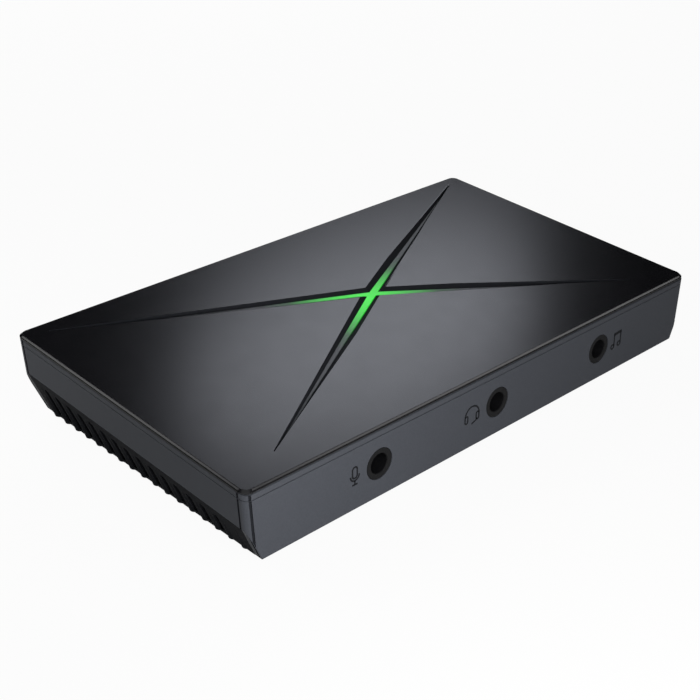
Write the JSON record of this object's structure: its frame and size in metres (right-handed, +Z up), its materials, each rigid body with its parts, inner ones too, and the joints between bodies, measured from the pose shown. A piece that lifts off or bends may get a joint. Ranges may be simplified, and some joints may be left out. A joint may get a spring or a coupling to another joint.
{
  "type": "video capture box",
  "caption": "Low wedge-shaped video capture box with an X-shaped lit slot in its lid, vented sloping sides, audio sockets in front and video and data sockets behind.",
  "frame": {"origin": "middle of the footprint, on the surface that the feet stand on", "axes": "+X along the long side, -Y out of the front face with the audio sockets, +Z up"},
  "size_m": [0.11, 0.0608, 0.0174],
  "materials": {
    "lid_gloss": "smooth dark gloss",
    "case_satin": "satin moulded charcoal",
    "vent_satin": "satin moulded black",
    "light_diffuser": "milky light pipe, lit green",
    "foot_rubber": "matt black rubber",
    "screw_steel": "zinc-plated steel",
    "board_green": "solder resist",
    "chip_black": "moulded epoxy",
    "socket_black": "moulded black",
    "shell_steel": "nickel-plated steel",
    "contact_gold": "gold-plated",
    "sink_aluminium": "extruded, plain",
    "pad_grey": "soft silicone",
    "can_aluminium": "drawn can",
    "ferrite_grey": "pressed powder",
    "lamp_white": "white resin"
  },
  "bodies": {
    "root": {"top_panel": "lid_gloss", "light_pipe": "light_diffuser", "upper_case": "case_satin", "case_body": "case_satin", "rear_panel": "case_satin", "bottom_case": "vent_satin", "foot_front_left": "foot_rubber", "foot_front_right": "foot_rubber", "foot_rear_left": "foot_rubber", "foot_rear_right": "foot_rubber", "case_screws": "screw_steel", "board_screws": "screw_steel", "main_board": "board_green", "mic_jack": "socket_black", "headset_jack": "socket_black", "line_jack": "socket_black", "mic_contacts": "contact_gold", "headset_contacts": "contact_gold", "line_contacts": "contact_gold", "video_in_shell": "shell_steel", "video_in_tongue": "socket_black", "video_in_contacts": "contact_gold", "video_out_shell": "shell_steel", "video_out_tongue": "socket_black", "video_out_contacts": "contact_gold", "data_port_shell": "shell_steel", "data_port_tongue": "socket_black", "data_port_contacts": "contact_gold", "video_processor": "chip_black", "thermal_pad": "pad_grey", "heat_sink": "sink_aluminium", "video_receiver": "chip_black", "video_transmitter": "chip_black", "data_bridge": "chip_black", "memory_chips": "chip_black", "audio_codec": "chip_black", "flash_memory": "chip_black", "crystals": "can_aluminium", "inductors": "ferrite_grey", "capacitors": "can_aluminium", "regulators": "chip_black", "status_led": "lamp_white"}
  },
  "joints": []
}
